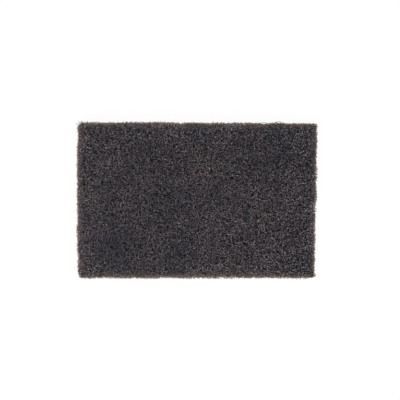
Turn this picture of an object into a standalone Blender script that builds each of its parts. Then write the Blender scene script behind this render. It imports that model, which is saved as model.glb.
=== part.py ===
"""Griddle scouring pad: one block of stiff, open non-woven web, cut from a sheet a little out of square.

The block lies flat on the plane Z = 0, long side along X. Each face is a net of long curled strands whose
crests were rolled level while the web cured. Between the strands the web opens into pits, and a wide gap
is deeper than a narrow one. The four cut sides are ragged, with the layers of the web running around them.
Run it with: blender --background --python part.py
"""

import math
import random

import bmesh
import bpy
from mathutils import Vector, geometry, noise

MM = 0.001

# Outline, seen from above. The rear edge is at +Y.
LENGTH = 152.0 * MM
WIDTH = 99.0 * MM
THICKNESS = 9.5 * MM
RIGHT_EDGE_LEAN = 1.8 * MM  # the right edge runs in by this much from the rear corner to the front one
REAR_EDGE_LEAN = 0.9 * MM  # the rear edge drops by this much from the left corner to the right one
LEFT_EDGE_BOW = 0.6 * MM  # how far the middle of the left edge stands out
LEFT_CORNER_RADIUS = 2.1 * MM
RIGHT_CORNER_RADIUS = 1.0 * MM

# Cut sides
RIM_STEP = 2.5 * MM  # between neighbouring points along a cut edge
RIM_ROWS = 5  # levels of points up a cut side, with both of its edges
RAG = 0.4 * MM  # how far the cut wanders in and out
RAG_LENGTH = 2.2 * MM  # length of one tuft along the cut
LAYER_HEIGHT = 1.3 * MM  # height of one layer of web on a cut side
EDGE_DROP = 0.35 * MM  # how far a cut edge lies below the crests

# Strands that show on each face
STRANDS = 102
STARTS_TRIED = 12  # a strand starts at the barest of this many places
STRAND_LENGTH = 34.0 * MM
STRAND_STEP = 2.3 * MM  # between neighbouring points of a strand
TIGHTEST_CURL = 5.0 * MM  # radius
CURL_CHANGE = 0.45  # how fast a strand's curl wanders, as a share of the tightest, per step
STRAND_DIP = 0.3 * MM  # how far a strand dips where it passes under others
DIP_LENGTH = 9.0 * MM
MERGE = 1.5 * MM  # strands that come closer than this share a point
BARE = 7.0 * MM  # a place this far from any strand counts as wholly bare
LEVEL_TUFT = 1.3 * MM  # radius of the level tuft in the middle of each face

# Pits between the strands
NARROWEST_PIT = 1.35 * MM  # radius of the smallest gap that opens into a pit
PIT_SLOPE = 1.4  # greatest depth of a pit, as a share of its gap's radius
DEEPEST_PIT = 2.6 * MM
SHALLOWEST = 0.5  # a deeper strand may cross a pit and leave only this share of its depth

WEB_COLOUR = (0.045, 0.040, 0.045, 1.0)
WEB_ROUGHNESS = 0.85
SEED = 46


def clear_scene():
    for thing in list(bpy.data.objects):
        bpy.data.objects.remove(thing)


def web_material():
    """Dark nylon strands coated with resin and abrasive grain."""
    material = bpy.data.materials.new("abrasive_web")
    material.use_nodes = True
    shader = material.node_tree.nodes["Principled BSDF"]
    shader.inputs["Base Color"].default_value = WEB_COLOUR
    shader.inputs["Roughness"].default_value = WEB_ROUGHNESS
    shader.inputs["Metallic"].default_value = 0.0
    return material


def corners():
    """The block's four corners from above with their radii, anticlockwise from the front left one."""
    half_length, half_width = LENGTH / 2, WIDTH / 2
    return [
        (Vector((-half_length, -half_width)), LEFT_CORNER_RADIUS),
        (Vector((half_length - RIGHT_EDGE_LEAN / 2, -half_width)), RIGHT_CORNER_RADIUS),
        (Vector((half_length + RIGHT_EDGE_LEAN / 2, half_width - REAR_EDGE_LEAN / 2)), RIGHT_CORNER_RADIUS),
        (Vector((-half_length, half_width + REAR_EDGE_LEAN / 2)), LEFT_CORNER_RADIUS),
    ]


def outward(direction):
    """The side's outward normal, for a side that runs anticlockwise along this direction."""
    return Vector((direction.y, -direction.x)).normalized()


def side_points(start, end, bow):
    """Evenly spaced points along one side, between its two rounded corners."""
    along = (end[0] - start[0]).normalized()
    first = start[0] + along * start[1]
    last = end[0] - along * end[1]
    steps = max(2, round((last - first).length / RIM_STEP))
    points = []
    for i in range(steps + 1):
        t = i / steps
        stand_out = 4 * t * (1 - t) * bow
        points.append(first.lerp(last, t) + outward(along) * stand_out)
    return points


def corner_middle(before, corner, after):
    """The middle point of a rounded corner, on the parabola that touches both sides."""
    tip, radius = corner
    start = tip + (before[0] - tip).normalized() * radius
    end = tip + (after[0] - tip).normalized() * radius
    return start.lerp(end, 0.5).lerp(tip, 0.5)


def outline():
    """The clean outline from above, as points with their outward normals, anticlockwise."""
    corner = corners()
    bows = [0.0, 0.0, 0.0, LEFT_EDGE_BOW]
    points = []
    for side in range(4):
        start, end, after = (corner[(side + k) % 4] for k in range(3))
        points += side_points(start, end, bows[side])
        points.append(corner_middle(start, end, after))
    count = len(points)
    normals = [outward(points[(i + 1) % count] - points[i - 1]) for i in range(count)]
    return points, normals


def rim_rows():
    """The cut sides: the ragged outline at each level, from the underside's edge to the top face's."""
    points, normals = outline()
    lowest, highest = EDGE_DROP, THICKNESS - EDGE_DROP
    rows = []
    for row in range(RIM_ROWS):
        height = lowest + (highest - lowest) * row / (RIM_ROWS - 1)
        ring = []
        for point, normal in zip(points, normals):
            place = Vector((point.x / RAG_LENGTH, point.y / RAG_LENGTH, height / LAYER_HEIGHT))
            wander = max(-1.0, min(1.0, 2 * noise.noise(place)))
            ring.append((point + normal * wander * RAG, height))
        rows.append(ring)
    return rows


def inside(point, ring):
    """Whether a point lies within a closed ring of points."""
    within = False
    for (a, _), (b, _) in zip(ring, ring[1:] + ring[:1]):
        if (a.y > point.y) != (b.y > point.y):
            crossing = a.x + (point.y - a.y) / (b.y - a.y) * (b.x - a.x)
            within ^= point.x < crossing
    return within


class PointSet:
    """Points on a face, with a quick search for the nearest one."""

    def __init__(self, cell):
        self.cell = cell
        self.cells = {}
        self.points = []

    def key(self, point):
        return math.floor(point.x / self.cell), math.floor(point.y / self.cell)

    def add(self, point, level):
        self.points.append((point, level))
        self.cells.setdefault(self.key(point), []).append(point)

    def nearest(self, point):
        """Distance to the nearest point, or one cell if none is closer."""
        column, row = self.key(point)
        near = [
            other
            for i in (column - 1, column, column + 1)
            for j in (row - 1, row, row + 1)
            for other in self.cells.get((i, j), ())
        ]
        return min([(other - point).length for other in near], default=self.cell)


def bare_place(crests, chance):
    """A random place on the face, well away from the strands already there."""
    half_length, half_width = LENGTH / 2, WIDTH / 2
    places = []
    for _ in range(STARTS_TRIED):
        place = (chance.uniform(-half_length, half_length), chance.uniform(-half_width, half_width))
        places.append(Vector(place))
    return max(places, key=crests.nearest)


def strand(place, chance):
    """The points of one curled strand that starts at this place."""
    heading = chance.uniform(0, math.tau)
    curl = chance.uniform(-1, 1)
    points = []
    for _ in range(round(STRAND_LENGTH / STRAND_STEP)):
        points.append(place.copy())
        curl = max(-1.0, min(1.0, curl + chance.uniform(-CURL_CHANGE, CURL_CHANGE)))
        heading += curl * STRAND_STEP / TIGHTEST_CURL
        place += Vector((math.cos(heading), math.sin(heading))) * STRAND_STEP
    return points


def lay_strands(ring, chance):
    """A face's ragged edge, its level tuft and its strands, as points with their depths below the crests."""
    crests = PointSet(BARE)
    for point, _ in ring:
        crests.add(point, EDGE_DROP)
    for third in range(3):
        turn = math.tau * third / 3
        crests.add(Vector((math.cos(turn), math.sin(turn))) * LEVEL_TUFT, 0.0)
    for number in range(STRANDS):
        for point in strand(bare_place(crests, chance), chance):
            if crests.nearest(point) < MERGE or not inside(point, ring):
                continue
            wave = noise.noise(Vector((point.x / DIP_LENGTH, point.y / DIP_LENGTH, number)))
            crests.add(point, max(0.0, wave) * 2 * STRAND_DIP)
    return crests


def triangles(points, ring_size):
    """Joins flat points into triangles inside the ring that the first ring_size of them make."""
    edges = [(i, (i + 1) % ring_size) for i in range(ring_size)]
    joined = geometry.delaunay_2d_cdt(points, edges, [], 1, MM / 1000)
    return joined[2]


def circle_through(a, b, c):
    """Centre and radius of the circle through three points, or None if they are nearly in line."""
    p, q = b - a, c - a
    cross = 2 * (p.x * q.y - p.y * q.x)
    if abs(cross) < MM * MM / 100:
        return None
    x = (q.y * p.length_squared - p.y * q.length_squared) / cross
    y = (p.x * q.length_squared - q.x * p.length_squared) / cross
    return a + Vector((x, y)), math.hypot(x, y)


def open_pits(crests, ring, chance):
    """Adds a pit in the middle of each gap between strands, the widest gaps first."""
    flat = [point for point, _ in crests.points]
    gaps = []
    for face in triangles(flat, len(ring)):
        circle = circle_through(*(flat[i] for i in face))
        if circle and circle[1] >= NARROWEST_PIT:
            gaps.append((circle[1], tuple(circle[0])))
    for radius, centre in sorted(gaps, reverse=True):
        centre = Vector(centre)
        if crests.nearest(centre) < NARROWEST_PIT or not inside(centre, ring):
            continue
        depth = min(DEEPEST_PIT, PIT_SLOPE * radius)
        crests.add(centre, depth * chance.uniform(SHALLOWEST, 1))


def face_points(ring, chance):
    """All points of one face with their depths below its crests, the ring's own first."""
    web = lay_strands(ring, chance)
    open_pits(web, ring, chance)
    return web.points


def add_face(mesh, ring_vertices, ring, level, way, chance):
    """Builds one face on a ring of vertices. Its crests lie at level, and way is the side it looks to."""
    points = face_points(ring, chance)
    vertices = list(ring_vertices)
    for point, depth in points[len(ring):]:
        vertices.append(mesh.verts.new((point.x, point.y, level - way * depth)))
    for face in triangles([point for point, _ in points], len(ring)):
        mesh.faces.new([vertices[i] for i in face][::way])


def build_pad():
    """The whole block as one closed mesh: cut sides first, then the underside and the top face."""
    chance = random.Random(SEED)
    rows = rim_rows()
    mesh = bmesh.new()
    rings = [[mesh.verts.new((p.x, p.y, height)) for p, height in row] for row in rows]
    for lower, upper in zip(rings, rings[1:]):
        for i in range(len(lower)):
            j = (i + 1) % len(lower)
            mesh.faces.new((lower[i], lower[j], upper[j], upper[i]))
    add_face(mesh, rings[0], rows[0], 0.0, -1, chance)
    add_face(mesh, rings[-1], rows[-1], THICKNESS, 1, chance)
    bmesh.ops.triangulate(mesh, faces=mesh.faces[:], quad_method="SHORT_EDGE")
    return mesh


def centre_on_origin(mesh):
    """Moves the block so that the middle of its outer box from above is on the Z axis."""
    for axis in (0, 1):
        places = [v.co[axis] for v in mesh.verts]
        middle = (min(places) + max(places)) / 2
        for vertex in mesh.verts:
            vertex.co[axis] -= middle


def main():
    clear_scene()
    mesh = build_pad()
    centre_on_origin(mesh)
    data = bpy.data.meshes.new("pad")
    mesh.to_mesh(data)
    mesh.free()
    data.materials.append(web_material())
    pad = bpy.data.objects.new("pad", data)
    bpy.context.scene.collection.objects.link(pad)


main()
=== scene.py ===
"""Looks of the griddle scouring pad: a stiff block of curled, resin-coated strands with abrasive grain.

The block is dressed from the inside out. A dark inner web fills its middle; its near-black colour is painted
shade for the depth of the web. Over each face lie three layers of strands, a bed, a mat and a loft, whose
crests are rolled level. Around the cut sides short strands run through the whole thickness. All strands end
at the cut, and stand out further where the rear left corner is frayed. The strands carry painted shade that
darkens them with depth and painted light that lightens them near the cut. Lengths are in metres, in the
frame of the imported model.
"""

import math

import bmesh
import bpy
import numpy as np
from mathutils.bvhtree import BVHTree
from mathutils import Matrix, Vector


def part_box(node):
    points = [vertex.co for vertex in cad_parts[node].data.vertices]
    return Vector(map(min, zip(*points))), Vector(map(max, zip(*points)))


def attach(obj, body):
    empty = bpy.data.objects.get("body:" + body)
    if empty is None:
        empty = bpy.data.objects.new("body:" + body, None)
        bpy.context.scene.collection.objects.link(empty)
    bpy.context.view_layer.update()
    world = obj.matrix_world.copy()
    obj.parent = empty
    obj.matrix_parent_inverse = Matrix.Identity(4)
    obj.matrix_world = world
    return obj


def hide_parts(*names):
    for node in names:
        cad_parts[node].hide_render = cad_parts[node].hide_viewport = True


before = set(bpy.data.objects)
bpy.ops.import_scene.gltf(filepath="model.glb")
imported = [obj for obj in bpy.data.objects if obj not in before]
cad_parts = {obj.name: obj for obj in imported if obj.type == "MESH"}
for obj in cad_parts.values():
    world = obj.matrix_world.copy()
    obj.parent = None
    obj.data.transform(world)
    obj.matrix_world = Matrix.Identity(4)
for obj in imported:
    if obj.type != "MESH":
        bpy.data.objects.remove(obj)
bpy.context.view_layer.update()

MM = 0.001
SEED = 90417

# The block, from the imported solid
LOW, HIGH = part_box("pad")
THICKNESS = HIGH.z - LOW.z
MIDDLE = (LOW.z + HIGH.z) / 2
MIDDLE_ROW = THICKNESS / 20  # the solid's middle row of vertices lies this close to half its height
SOUNDING = 0.4 * MM  # between the places where the depth of the solid's pits is taken
PLACES_AT_ONCE = 20000  # that are measured together, which bounds the memory used

# Strands
POINTS = 6  # along one strand
STEP = (0.7 * MM, 1.05 * MM)  # between neighbouring points of a strand
RADIUS = (0.12 * MM, 0.22 * MM)
LUMPS = 0.5  # how much grain and resin swell a strand, as a share of its radius
SIDES = 3  # of a strand's tube, which is closed by a triangle at each end
TIGHTEST_CURL = 0.8 * MM  # radius
CURL = (0.15, 1.0)  # how tightly a strand curls, as a share of the tightest
CURL_PACE = (0.3, 1.2)  # how fast the curl turns over, in radians for each point
WAVE = (0.2 * MM, 1.0 * MM)  # how far a strand rises and dips
WAVE_PACE = (1.0, 2.2)
PIT_DIP = 0.2  # how far a strand sinks over a pit, as a share of the pit's depth
PAINTED_SHADE_DEPTH = 0.7 * MM  # painted shade: depth below the faces and behind the cut over which strands are painted darker

# Where the strands lie: each layer's name, the depths below its face that it fills, and its strands
TOP_LAYERS = [
    ("top_loft", (0.1 * MM, 1.0 * MM), 5900),
    ("top_mat", (0.5 * MM, 1.8 * MM), 4900),
    ("top_bed", (1.4 * MM, 2.9 * MM), 3500),
]
UNDER_LAYERS = [
    ("under_loft", (0.1 * MM, 1.0 * MM), 4200),
    ("under_mat", (0.5 * MM, 1.8 * MM), 2500),
    ("under_bed", (1.4 * MM, 2.9 * MM), 3700),
]
RIM_WIDTH = 3.2 * MM  # of the band along the cut where strands run through the thickness
RIM_STRANDS = 5800

# The cut, which lies a little outside the solid's sides
CUT_PROUD = 0.54 * MM  # how far the strands stand out of the sides, on average
CUT_SPREAD = 0.32 * MM  # how much this differs from strand to strand
LONGEST_END = 1.1 * MM  # the furthest that a strand stands out
SHORTEST_END = 0.5 * MM  # the furthest that a strand ends inside the sides
LONG_ENDS = 0.07  # share of the strands that escaped the blade and stand out
FRAYED_CORNER = (LOW.x, HIGH.y)  # at the rear left
FRAY = 2.2  # how much further strands stand out at that corner, as a share
FRAY_REACH = 3.0 * MM  # over which this dies down
FEWEST_POINTS = 3  # a strand that is cut shorter than this falls out
SHORTEST_TIP = 0.25  # share of a step below which a strand ends at its last whole step
CUT_FADE = 1.0 * MM  # depth over which the pale cut ends fade; their paleness is partly uncoated nylon and partly painted light
PAINTED_LIGHT_FADE = 9.0 * MM  # depth over which the painted light near the cut fades, which paints strands lighter where the edges catch more light

# The inner web
INNER_GAP = 2.8 * MM  # from the outside of the block
INNER_DIP = 0.3  # how much further it lies under a pit, as a share of the pit's depth
INNER_CELL = 1.6 * MM  # of its mesh
INNER_LUMPS = 0.55 * MM  # how far its surface goes in and out
IN_A_FACE = 0.5  # a normal that points this much up or down belongs to a face, not to a cut side

# The floor and the light
FLOOR_COLOUR = (0.9, 0.9, 0.9, 1.0)
FLOOR_REACH = 3.0
FLOOR_DROP = 0.05 * MM  # below the pad
FLOOR_KEEP = 0.06  # share of the floor's own light and shade in what the camera sees
SHADED_INSET = 1.2 * MM  # from the cut to the part of the floor that keeps all its shade
SHADED_DROP = 0.03 * MM  # below the pad
SKY_LEVEL = 0.62
LAMPS = [  # each lamp's name, place, power and width
    ("key", (-0.2, -0.6, 0.8), 9.0, 0.6),
    ("fill", (0.6, 0.5, 0.8), 2.6, 0.8),
]

# The photograph's view
IMAGE = 400  # pixels along each side
PAD_IN_IMAGE = (197.0, 200.17)  # pixel at the middle of the pad
PIXEL = 0.64035 * MM  # at the pad's top face
LENS = 100.0  # in mm
SENSOR = 36.0


def colour(red, green, blue):
    """A colour as it looks on screen, from 0 to 255, in the linear values that shaders take."""
    def linear(part):
        part /= 255
        return part / 12.92 if part <= 0.04045 else ((part + 0.055) / 1.055) ** 2.4
    return linear(red), linear(green), linear(blue), 1.0


# Hues of the strands
COOL_GREY = colour(56, 66, 78)
WARM_GREY = colour(91, 74, 74)
SPOT = 0.6 * MM  # size of the smallest changes in hue
PATCH = 18 * MM  # size of the slow changes in hue and tone
STRAND_HUE, SPOT_HUE, PATCH_HUE = 0.5, 2.6, 0.9  # how much each has a part in the hue
COOLING = 1.5  # how far all hues are moved to the cool side
RED_FLECK = colour(92, 57, 58)
RED_STRANDS = 0.04  # share of the strands
BLUE_FLECK = colour(54, 65, 86)
BLUE_STRANDS = 0.02
FLECK = 3 * MM  # length of a coloured bit of such a strand
FLECK_LEVEL = 0.6  # of the noise, above which such a strand shows its colour

# Hues at the cut, with their strengths and with how sharply two of them fade behind it
RUST_BROWN = colour(100, 74, 60)
BROWNING, BROWN_FADE = 0.5, 0.6
# pale cut ends: partly uncoated nylon, partly painted light where the edges catch more light
PALE_END_AND_EDGE_LIGHT = colour(150, 123, 103)
PALING_AND_EDGE_LIGHT = 0.55
AMBER_END = colour(170, 132, 84)
AMBER_STRANDS = 0.3  # share of the strands
AMBER, AMBER_FADE = 0.85, 4

# Tone and grain of the strands, with their painted shade and painted light. A pair is what 0 and 1 of the
# value that it follows turn into.
GRAIN = 0.7 * MM  # size of a cluster of grains
GRAIN_START = 0.42  # level of the noise above which the grain shows pale, partly in its own colour and partly as painted glints
GRAIN_CONTRAST = 16.5
DARKEST = 0.1  # where there is no grain
TONE_BY_TINT = (0.78, 1.02)
TONE_BY_PATCH = (0.4, 1.52)
PAINTED_LIGHT_BY_EDGE = (0.86, 1.17)
PAINTED_SHADE_BY_DEPTH = (0.45, 1.25)
# grey of the brightest grain, partly bare grain and partly painted glints
GRAIN_AND_GLINT_GREY = colour(76, 72, 75)
GREYING_OF_GRAIN_AND_GLINTS = 0.3  # how fast the brightest grain turns grey, partly as bare grain and partly as painted glints
ROUGHNESS_BY_GRAIN = (0.42, 0.77)
STRAND_GLOSS = 0.4
PITTING = {"Strength": 0.35, "Distance": 0.08 * MM}  # of the bumps that single grains make
PITTING_SIZE = 0.16 * MM

# Colour, roughness and bumps of the inner web. Its near-black colour is painted shade for the depth of the
# web.
INNER_TANGLE = 0.9 * MM
# painted shade: near-black greys for the depth of the web
INNER_SHADE_STOPS = [(0.35, colour(20, 18, 21)), (0.65, colour(36, 33, 37))]
ROUGHNESS_BY_TANGLE = (0.8, 0.95)
INNER_GLOSS = 0.2
INNER_BUMP = {"Strength": 0.8, "Distance": 0.6 * MM}


class Socket:
    """One output of a shader node. Python's operators on it add Math nodes."""

    def __init__(self, material, output):
        self.material = material
        self.output = output

    def maths(self, operation, first, second):
        """Adds a Math node."""
        return self.material.add("ShaderNodeMath", {"operation": operation}, {0: first, 1: second})

    def __add__(self, other):
        return self.maths("ADD", self, other)

    def __radd__(self, other):
        return self.maths("ADD", other, self)

    def __sub__(self, other):
        return self.maths("SUBTRACT", self, other)

    def __rsub__(self, other):
        return self.maths("SUBTRACT", other, self)

    def __mul__(self, other):
        return self.maths("MULTIPLY", self, other)

    def __rmul__(self, other):
        return self.maths("MULTIPLY", other, self)

    def __pow__(self, other):
        return self.maths("POWER", self, other)

    def __or__(self, other):
        return self.maths("MAXIMUM", self, other)

    def __gt__(self, other):
        return self.maths("GREATER_THAN", self, other)


class Nodes:
    """The nodes of one material or world."""

    def __init__(self, owner):
        owner.use_nodes = True
        self.tree = owner.node_tree

    def add(self, kind, settings=None, inputs=None, output=0):
        """Adds a node, sets it, then gives values or links to its sockets."""
        node = self.tree.nodes.new(kind)
        for name, value in (settings or {}).items():
            if name == "stops":
                self.set_stops(node.color_ramp, value)
            else:
                setattr(node, name, value)
        for key, value in (inputs or {}).items():
            self.feed(node.inputs[key], value)
        return Socket(self, node.outputs[output])

    def set_stops(self, ramp, stops):
        """Gives a colour ramp its stops, each a place from 0 to 1 and a colour."""
        while len(ramp.elements) > 1:
            ramp.elements.remove(ramp.elements[-1])
        for number, (place, shade) in enumerate(stops):
            element = ramp.elements[0] if number == 0 else ramp.elements.new(place)
            element.position = place
            element.color = shade

    def feed(self, socket, value):
        """Links a node's output to this socket, or gives it a plain value."""
        if isinstance(value, Socket):
            self.tree.links.new(value.output, socket)
        else:
            socket.default_value = value

    def shade(self, **inputs):
        """Sets the Principled shader, with underscores for the spaces in its sockets' names."""
        shader = self.tree.nodes["Principled BSDF"]
        for name, value in inputs.items():
            self.feed(shader.inputs[name.replace("_", " ")], value)

    def noise(self, size, detail=2.0):
        """Noise from 0 to 1 whose waves are about this long, in metres."""
        place = self.add("ShaderNodeTexCoord", output="Object")
        return self.add("ShaderNodeTexNoise", inputs={"Vector": place, "Scale": 1 / size, "Detail": detail})

    def mix(self, how, factor, first, second):
        """Mixes two colours."""
        settings = {"data_type": "RGBA", "blend_type": how}
        return self.add("ShaderNodeMix", settings, {0: factor, 6: first, 7: second}, output=2)

    def attribute(self, name):
        """A number that the mesh carries at each vertex."""
        return self.add("ShaderNodeAttribute", {"attribute_name": name}, output="Fac")

    def bump(self, height, strength):
        """A normal that is bent by this height."""
        return self.add("ShaderNodeBump", inputs={**strength, "Height": height})


def ranged(value, pair):
    """Goes from the pair's first number to its second as the value goes from 0 to 1."""
    start, end = pair
    return start + (end - start) * value


def strand_material():
    """Nylon strands in mixed dark greys under resin and grain. Their pale grain specks are partly the
    grain's own colour and partly painted glints. Painted shade darkens them with depth below the faces and
    behind the cut, and painted light lightens them near the cut. Their cut ends are paler and warmer, partly
    from uncoated nylon and partly as painted light.
    """
    material = bpy.data.materials.new("coated_strands")
    nodes = Nodes(material)
    grain = nodes.noise(GRAIN, detail=0.0)
    patches = nodes.noise(PATCH)
    spots = nodes.noise(SPOT, detail=0.0)
    fleck = nodes.noise(FLECK, detail=1.0) > FLECK_LEVEL
    tint = nodes.attribute("tint")
    warmth = nodes.attribute("warmth")
    cut = nodes.attribute("cut")
    hue = STRAND_HUE * warmth + SPOT_HUE * spots + PATCH_HUE * patches - COOLING
    base = nodes.mix("MIX", hue, COOL_GREY, WARM_GREY)
    base = nodes.mix("MIX", (tint > 1 - RED_STRANDS) * fleck, base, RED_FLECK)
    base = nodes.mix("MIX", (tint > 1 - BLUE_STRANDS) * fleck, base, BLUE_FLECK)
    base = nodes.mix("MIX", BROWNING * cut ** BROWN_FADE, base, RUST_BROWN)
    # pale grain specks, partly the grain's own colour and partly painted glints
    grain_and_glints = (grain - GRAIN_START) * GRAIN_CONTRAST | DARKEST
    # painted light: strands painted lighter near the cut
    painted_edge_light = ranged(nodes.attribute("painted_edge_light"), PAINTED_LIGHT_BY_EDGE)
    tone = ranged(tint, TONE_BY_TINT) * ranged(patches, TONE_BY_PATCH) * painted_edge_light
    # painted shade: strands painted darker the deeper they lie below the faces or behind the cut
    shade = grain_and_glints * ranged(nodes.attribute("painted_depth_shade"), PAINTED_SHADE_BY_DEPTH) * tone
    grey = nodes.add("ShaderNodeCombineColor", inputs={0: shade, 1: shade, 2: shade})
    # the brightest specks turn grey, partly bare grain and partly painted glints
    bare_and_glinting = nodes.mix("MIX", (shade - 1.0) * GREYING_OF_GRAIN_AND_GLINTS, base, GRAIN_AND_GLINT_GREY)
    coated = nodes.mix("MULTIPLY", 1.0, bare_and_glinting, grey)
    # pale cut ends, partly uncoated nylon and partly painted light
    paled_and_lit = nodes.mix("MIX", cut * PALING_AND_EDGE_LIGHT, coated, PALE_END_AND_EDGE_LIGHT)
    amber = AMBER * (warmth > 1 - AMBER_STRANDS) * cut ** AMBER_FADE
    nodes.shade(
        Base_Color=nodes.mix("MIX", amber, paled_and_lit, AMBER_END),
        Roughness=ranged(grain, ROUGHNESS_BY_GRAIN),
        Metallic=0.0,
        Specular_IOR_Level=STRAND_GLOSS,
        Normal=nodes.bump(nodes.noise(PITTING_SIZE), PITTING),
    )
    return material


def inner_material():
    """The depth of the web, which hardly any light reaches. Its near-black colour is painted shade."""
    material = bpy.data.materials.new("inner_web_shade")
    nodes = Nodes(material)
    tangle = nodes.noise(INNER_TANGLE, detail=4.0)
    nodes.shade(
        Base_Color=nodes.add("ShaderNodeValToRGB", {"stops": INNER_SHADE_STOPS}, {0: tangle}),
        Roughness=ranged(tangle, ROUGHNESS_BY_TANGLE),
        Metallic=0.0,
        Specular_IOR_Level=INNER_GLOSS,
        Normal=nodes.bump(tangle, INNER_BUMP),
    )
    return material


class Block:
    """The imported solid: its outline from above, and the depth of the pits in its two faces."""

    def __init__(self, mesh):
        self.outline = self.cut_outline(mesh)
        faces = [face.vertices[:] for face in mesh.polygons]
        tree = BVHTree.FromPolygons([vertex.co for vertex in mesh.vertices], faces)
        self.pits = {way: self.sounded(tree, way) for way in (1, -1)}

    def cut_outline(self, mesh):
        """The outline at half the block's height, anticlockwise, with its raggedness smoothed out."""
        places = {  # rounded, so that vertices in one place count once
            (round(vertex.co.x / MM, 3), round(vertex.co.y / MM, 3))
            for vertex in mesh.vertices
            if abs(vertex.co.z - MIDDLE) < MIDDLE_ROW
        }
        ring = sorted(places, key=lambda place: math.atan2(place[1], place[0]))
        points = np.array(ring) * MM
        return (np.roll(points, 1, 0) + 2 * points + np.roll(points, -1, 0)) / 4

    def sounded(self, tree, way):
        """Depths of the pits in the top face, way 1, or the underside, way -1, on an even grid."""
        columns = math.ceil((HIGH.x - LOW.x) / SOUNDING)
        rows = math.ceil((HIGH.y - LOW.y) / SOUNDING)
        depths = np.zeros((columns, rows))
        for column in range(columns):
            for row in range(rows):
                x, y = LOW.x + (column + 0.5) * SOUNDING, LOW.y + (row + 0.5) * SOUNDING
                hit = tree.ray_cast((x, y, MIDDLE + way * THICKNESS), (0, 0, -way))[0]
                if hit:
                    depths[column, row] = THICKNESS / 2 - way * (hit.z - MIDDLE)
        return depths

    def pit_depth(self, places, way):
        """How deep the solid lies below its face at each of these places."""
        depths = self.pits[way]
        column = np.clip((places[..., 0] - LOW.x) / SOUNDING, 0, depths.shape[0] - 1).astype(int)
        row = np.clip((places[..., 1] - LOW.y) / SOUNDING, 0, depths.shape[1] - 1).astype(int)
        return depths[column, row]

    def inset(self, gap):
        """The outline, drawn in by this gap."""
        return self.outline * (1 - gap / np.abs(self.outline).max(axis=0))

    def depth_inside(self, places):
        """How far each place lies inside the outline, seen from above. It is negative outside."""
        start = self.outline
        edge = np.roll(start, -1, 0) - start
        length = np.linalg.norm(edge, axis=1)
        flat = places[..., :2].reshape(-1, 2)
        depths = np.empty(len(flat))
        for first in range(0, len(flat), PLACES_AT_ONCE):
            some = slice(first, first + PLACES_AT_ONCE)
            offset = flat[some, None, :] - start
            along = np.clip((offset * edge).sum(-1) / length ** 2, 0, 1)
            gap = np.linalg.norm(offset - along[..., None] * edge, axis=-1)
            nearest = gap.argmin(1)
            rows = np.arange(len(gap))
            near, away = edge[nearest], offset[rows, nearest]
            side = near[:, 0] * away[:, 1] - near[:, 1] * away[:, 0]
            depths[some] = gap[rows, nearest] * np.sign(side)
        return depths.reshape(places.shape[:-1])


def curled_lines(rng, starts):
    """Centre lines of curled strands that start at these places, as an array of lines by points by 3."""
    count = len(starts)
    number = np.arange(POINTS)

    def each(low, high):
        return rng.uniform(low, high, (count, 1))

    step = each(*STEP)
    curl = step / TIGHTEST_CURL * each(*CURL) * np.sin(each(0, math.tau) + number * each(*CURL_PACE))
    heading = each(0, math.tau) + np.cumsum(curl, axis=1)
    wave = each(*WAVE) * np.sin(each(0, math.tau) + number * each(*WAVE_PACE))
    moves = np.stack([np.cos(heading) * step, np.sin(heading) * step], axis=-1)
    line = np.cumsum(moves, axis=1)
    line -= line[:, POINTS // 2:POINTS // 2 + 1]
    heights = starts[:, 2:] + wave
    return np.concatenate([starts[:, None, :2] + line, heights[..., None]], axis=-1)


def cut_to_outline(block, rng, lines):
    """Cuts lines where they leave the block. Gives pieces, each with its points' depths inside the cut."""
    proud = np.clip(rng.normal(CUT_PROUD, CUT_SPREAD, len(lines)), -SHORTEST_END, LONGEST_END)
    escaped = rng.random(len(lines)) < LONG_ENDS
    proud[escaped] = rng.uniform(0, LONGEST_END, escaped.sum())
    away = np.linalg.norm(lines[:, POINTS // 2, :2] - FRAYED_CORNER, axis=1)
    proud *= 1 + FRAY * np.exp(-away / FRAY_REACH)
    depths = block.depth_inside(lines) + proud[:, None]
    pieces = []
    for line, depth in zip(lines, depths):
        kept = np.flatnonzero(depth > 0)
        if len(kept) < FEWEST_POINTS:
            continue
        first = last = kept[0]
        while last + 1 < POINTS and depth[last + 1] > 0:
            last += 1
        if last + 1 - first < FEWEST_POINTS:
            continue
        piece, inside = line[first:last + 1], depth[first:last + 1]
        if first > 0:
            piece, inside = with_cut_end(piece, inside, line[first - 1], depth[first - 1], 0)
        if last < POINTS - 1:
            piece, inside = with_cut_end(piece, inside, line[last + 1], depth[last + 1], len(piece))
        pieces.append((piece, inside))
    return pieces


def with_cut_end(piece, inside, beyond, depth_beyond, place):
    """Lengthens a piece to the cut, towards the point beyond it."""
    end = 0 if place == 0 else -1
    share = inside[end] / (inside[end] - depth_beyond)
    if share < SHORTEST_TIP:
        return piece, inside
    tip = piece[end] + (beyond - piece[end]) * share
    return np.insert(piece, place, tip, axis=0), np.insert(inside, place, 0.0)


def tube_skin(rng, line):
    """The vertices of a lumpy tube along this line, ring by ring."""
    along = np.gradient(line, axis=0)
    along /= np.linalg.norm(along, axis=1, keepdims=True)
    side = np.cross(along, (0, 0, 1))
    side /= np.linalg.norm(side, axis=1, keepdims=True)
    upward = np.cross(side, along)
    radius = rng.uniform(*RADIUS) * (1 + LUMPS * rng.uniform(-1, 1, len(line)))
    turn = math.tau * np.arange(SIDES) / SIDES + rng.uniform(0, math.tau)
    ring = np.cos(turn)[:, None] * side[:, None] + np.sin(turn)[:, None] * upward[:, None]
    return (line[:, None] + ring * radius[:, None, None]).reshape(-1, 3)


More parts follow.
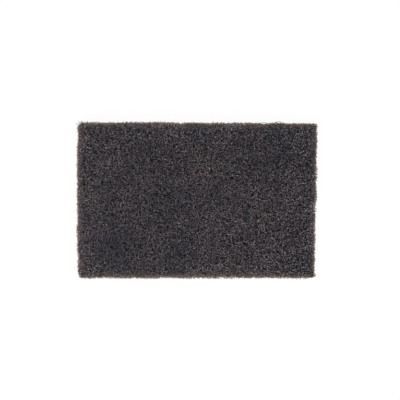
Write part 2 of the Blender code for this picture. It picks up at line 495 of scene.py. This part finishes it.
def tube_mesh(rng, name, pieces):
    """One mesh of closed tubes, one along each piece, with the numbers that the material follows."""
    skins, tubes = [], []
    looks = {"tint": [], "warmth": [], "cut": [], "painted_edge_light": [], "painted_depth_shade": []}
    vertices, segments = 0, 0
    for line, inside in pieces:
        skin = tube_skin(rng, line)
        inside = np.repeat(np.maximum(inside, 0), SIDES)
        below = np.minimum(HIGH.z - skin[:, 2], skin[:, 2] - LOW.z)
        skins.append(skin)
        looks["tint"].append(np.full(len(skin), rng.random()))
        looks["warmth"].append(np.full(len(skin), rng.random()))
        looks["cut"].append(np.exp(-inside / CUT_FADE))
        # painted light: lighter near the cut, fading inwards
        looks["painted_edge_light"].append(np.exp(-inside / PAINTED_LIGHT_FADE))
        # painted shade: darker with depth below the faces and behind the cut
        looks["painted_depth_shade"].append(np.exp(-np.maximum(np.minimum(below, inside), 0) / PAINTED_SHADE_DEPTH))
        tubes.append((vertices, len(line), segments))
        vertices += len(skin)
        segments += len(line) - 1
    looks = {look: np.concatenate(parts) for look, parts in looks.items()}
    return build_mesh(name, np.concatenate(skins), tubes, segments, looks)


def build_mesh(name, vertices, tubes, segments, attributes):
    """Builds the mesh from its tubes, each given by its first vertex, its rings and its first segment.

    In its UV map, each segment of a tube has a cell, and each side a strip of it.
    """
    columns = math.ceil(math.sqrt(segments))
    corners, sizes, places = [], [], []
    for first, rings, segment in tubes:
        ring = np.arange(rings - 1)[:, None]
        side = np.arange(SIDES)[None]
        here = first + ring * SIDES + side
        turned = first + ring * SIDES + (side + 1) % SIDES
        quads = np.stack([here, turned, turned + SIDES, here + SIDES], axis=-1)
        cell = segment + ring
        u, v = np.broadcast_arrays(cell % columns, cell // columns + side / SIDES)
        strip = 1 / SIDES
        box = np.stack([
            np.stack([u, v], -1),
            np.stack([u, v + strip], -1),
            np.stack([u + 1, v + strip], -1),
            np.stack([u + 1, v], -1),
        ], axis=2)
        last = first + (rings - 1) * SIDES
        corners += [quads.ravel(), [first + 2, first + 1, first], [last, last + 1, last + 2]]
        sizes += [np.full(quads.shape[0] * SIDES, 4), [3, 3]]
        places += [box.reshape(-1, 2), box[0, 0, :3], box[-1, 0, :3]]
    corners = np.concatenate(corners)
    sizes = np.concatenate(sizes)
    places = np.concatenate(places) / columns
    mesh = bpy.data.meshes.new(name)
    mesh.vertices.add(len(vertices))
    mesh.vertices.foreach_set("co", vertices.astype(np.float32).ravel())
    mesh.loops.add(len(corners))
    mesh.loops.foreach_set("vertex_index", corners.astype(np.int32))
    mesh.polygons.add(len(sizes))
    mesh.polygons.foreach_set("loop_start", (np.cumsum(sizes) - sizes).astype(np.int32))
    mesh.uv_layers.new(name="OFBake").data.foreach_set("uv", places.astype(np.float32).ravel())
    for attribute, values in attributes.items():
        mesh.attributes.new(attribute, "FLOAT", "POINT").data.foreach_set("value", values.astype(np.float32))
    mesh.update(calc_edges=True)
    mesh.validate()
    mesh.shade_smooth()
    return mesh


def add_piece(name, mesh, material):
    """Puts a mesh in the scene as a piece of the pad."""
    piece = bpy.data.objects.new(name, mesh)
    bpy.context.scene.collection.objects.link(piece)
    mesh.materials.append(material)
    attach(piece, "root")
    return piece


def strands_between(block, rng, count, lowest, highest):
    """Curled lines between two heights, one in each cell of a grid, that sink over the solid's pits."""
    length, width = HIGH.x - LOW.x, HIGH.y - LOW.y
    rows = round(math.sqrt(count * width / length))
    columns = math.ceil(count / rows)
    cell = np.arange(rows * columns)
    way = 1 if lowest > MIDDLE else -1
    along = (cell % columns + rng.random(len(cell))) / columns
    across = (cell // columns + rng.random(len(cell))) / rows
    heights = rng.uniform(lowest, highest, len(cell))
    starts = np.stack([LOW.x + length * along, LOW.y + width * across, heights], axis=1)
    lines = curled_lines(rng, starts)
    lines[..., 2] -= way * PIT_DIP * block.pit_depth(lines, way)
    return lines


def rim_strands(block, rng, count):
    """Curled lines along the cut, through the whole thickness, with more of them at half its height."""
    outline = block.outline
    edge = np.roll(outline, -1, 0) - outline
    length = np.linalg.norm(edge, axis=1)
    which = rng.choice(len(outline), count, p=length / length.sum())
    inward = np.stack([-edge[:, 1], edge[:, 0]], axis=1) / length[:, None]
    place = outline[which] + edge[which] * rng.random((count, 1))
    place += inward[which] * rng.uniform(0, RIM_WIDTH, (count, 1))
    heights = rng.triangular(LOW.z, MIDDLE, HIGH.z, (count, 1))
    return curled_lines(rng, np.concatenate([place, heights], axis=1))


def rolled_level(lines):
    """Keeps lines between the planes that the block was rolled to."""
    thickest = RADIUS[1] * (1 + LUMPS)
    lines[..., 2] = np.clip(lines[..., 2], LOW.z + thickest, HIGH.z - thickest)
    return lines


def add_strands(block, material, name, lay, count, *heights):
    """Adds one layer of strands, laid by this function."""
    rng = np.random.default_rng([SEED, *name.encode()])
    lines = rolled_level(lay(block, rng, count, *heights))
    add_piece(name, tube_mesh(rng, name, cut_to_outline(block, rng, lines)), material)


def add_inner_web(block):
    """The dark middle of the block, a lumpy slab inside the strands that sinks under the solid's pits. Its
    darkness is painted shade.
    """
    half = THICKNESS / 2 - INNER_GAP
    slab = bmesh.new()
    base = slab.faces.new([slab.verts.new((x, y, MIDDLE - half)) for x, y in block.inset(INNER_GAP)])
    walls = bmesh.ops.extrude_face_region(slab, geom=[base])
    tops = [part for part in walls["geom"] if isinstance(part, bmesh.types.BMVert)]
    bmesh.ops.translate(slab, verts=tops, vec=(0, 0, 2 * half))
    bmesh.ops.recalc_face_normals(slab, faces=slab.faces[:])
    mesh = bpy.data.meshes.new("inner_web")
    slab.to_mesh(mesh)
    slab.free()
    piece = add_piece("inner_web", mesh, inner_material())
    remesh = piece.modifiers.new("even_cells", "REMESH")
    remesh.mode = "VOXEL"
    remesh.voxel_size = INNER_CELL
    evened = piece.evaluated_get(bpy.context.evaluated_depsgraph_get())
    piece.data = bpy.data.meshes.new_from_object(evened)
    piece.modifiers.clear()
    roughen(block, piece.data)
    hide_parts("pad")


def roughen(block, mesh):
    """Sinks the inner web under the pits, then moves each of its vertices in or out at random."""
    rng = np.random.default_rng(SEED)
    places = np.empty((len(mesh.vertices), 3))
    normals = np.empty((len(mesh.vertices), 3))
    mesh.vertices.foreach_get("co", places.ravel())
    mesh.vertices.foreach_get("normal", normals.ravel())
    for way in (1, -1):
        facing = way * normals[:, 2] > IN_A_FACE
        places[facing, 2] -= way * INNER_DIP * block.pit_depth(places[facing], way)
    places += normals * rng.uniform(-1, 1, (len(places), 1)) * INNER_LUMPS
    mesh.vertices.foreach_set("co", places.ravel())
    mesh.update()
    mesh.shade_smooth()


def add_pad(block):
    """The inner web, the three layers over each face, and the band along the cut."""
    material = strand_material()
    add_inner_web(block)
    for name, (least, most), count in TOP_LAYERS:
        add_strands(block, material, name, strands_between, count, HIGH.z - most, HIGH.z - least)
    for name, (least, most), count in UNDER_LAYERS:
        add_strands(block, material, name, strands_between, count, LOW.z + least, LOW.z + most)
    add_strands(block, material, "cut_rim", rim_strands, RIM_STRANDS)


def seen_directly(nodes):
    """1 for what the camera sees, also in a reflection or through glass."""
    kinds = ("Is Camera Ray", "Is Glossy Ray", "Is Transmission Ray")
    camera, glossy, through = (nodes.add("ShaderNodeLightPath", output=kind) for kind in kinds)
    return camera | glossy | through


def white_floor():
    """White where the camera sees it, with a faint share of its own light and shade."""
    material = bpy.data.materials.new("white_floor")
    nodes = Nodes(material)
    white = nodes.add("ShaderNodeEmission", inputs={"Color": (1, 1, 1, 1), "Strength": 1.0})
    lit = nodes.add("ShaderNodeBsdfDiffuse", inputs={"Color": FLOOR_COLOUR})
    factor = seen_directly(nodes) * (1 - FLOOR_KEEP)
    both = nodes.add("ShaderNodeMixShader", inputs={0: factor, 1: lit, 2: white})
    nodes.feed(nodes.tree.nodes["Material Output"].inputs["Surface"], both)
    return material


def shaded_floor():
    """The floor under the pad, with all of its own shade."""
    material = bpy.data.materials.new("shaded_floor")
    Nodes(material).shade(Base_Color=FLOOR_COLOUR, Roughness=1.0)
    return material


def add_floor_part(name, corners, drop, material):
    """Adds a level sheet with these corners, this far below the pad."""
    mesh = bpy.data.meshes.new(name)
    mesh.from_pydata([(x, y, LOW.z - drop) for x, y in corners], [], [range(len(corners))])
    mesh.materials.append(material)
    sheet = bpy.data.objects.new(name, mesh)
    bpy.context.scene.collection.objects.link(sheet)


def add_floor(block):
    """A wide white floor, and the part of it that lies in the pad's own shade."""
    reach = FLOOR_REACH
    corners = [(-reach, -reach), (reach, -reach), (reach, reach), (-reach, reach)]
    add_floor_part("floor", corners, FLOOR_DROP, white_floor())
    add_floor_part("floor_under_pad", block.inset(SHADED_INSET), SHADED_DROP, shaded_floor())


def add_sky():
    """Even white light from all round. The camera sees it as white."""
    world = bpy.data.worlds.new("studio")
    bpy.context.scene.world = world
    nodes = Nodes(world)
    background = nodes.tree.nodes["Background"]
    background.inputs["Color"].default_value = (1, 1, 1, 1)
    seen = seen_directly(nodes)
    nodes.feed(background.inputs["Strength"], seen + (1 - seen) * SKY_LEVEL)


def add_lamp(name, place, power, size):
    """A square soft lamp that shines at the middle of the pad."""
    light = bpy.data.lights.new(name, "AREA")
    light.energy = power
    light.size = size
    lamp = bpy.data.objects.new(name, light)
    lamp.location = place
    lamp.rotation_euler = (-lamp.location).to_track_quat("-Z", "Y").to_euler()
    bpy.context.scene.collection.objects.link(lamp)


def add_camera():
    """Looks straight down, with the middle of the pad at its pixel in the photograph."""
    camera = bpy.data.cameras.new("camera")
    camera.lens = LENS
    camera.sensor_width = SENSOR
    eye = bpy.data.objects.new("camera", camera)
    pad_x, pad_y = (LOW.x + HIGH.x) / 2, (LOW.y + HIGH.y) / 2
    right = (IMAGE / 2 - PAD_IN_IMAGE[0]) * PIXEL
    down = (IMAGE / 2 - PAD_IN_IMAGE[1]) * PIXEL
    distance = IMAGE * PIXEL * LENS / SENSOR
    eye.location = (pad_x + right, pad_y - down, HIGH.z + distance)
    bpy.context.scene.collection.objects.link(eye)
    bpy.context.scene.camera = eye


def main():
    """Builds the pad, its floor, the light and the camera."""
    block = Block(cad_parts["pad"].data)
    add_pad(block)
    add_floor(block)
    add_sky()
    for lamp in LAMPS:
        add_lamp(*lamp)
    add_camera()
    bpy.context.scene.view_settings.view_transform = "Standard"


main()
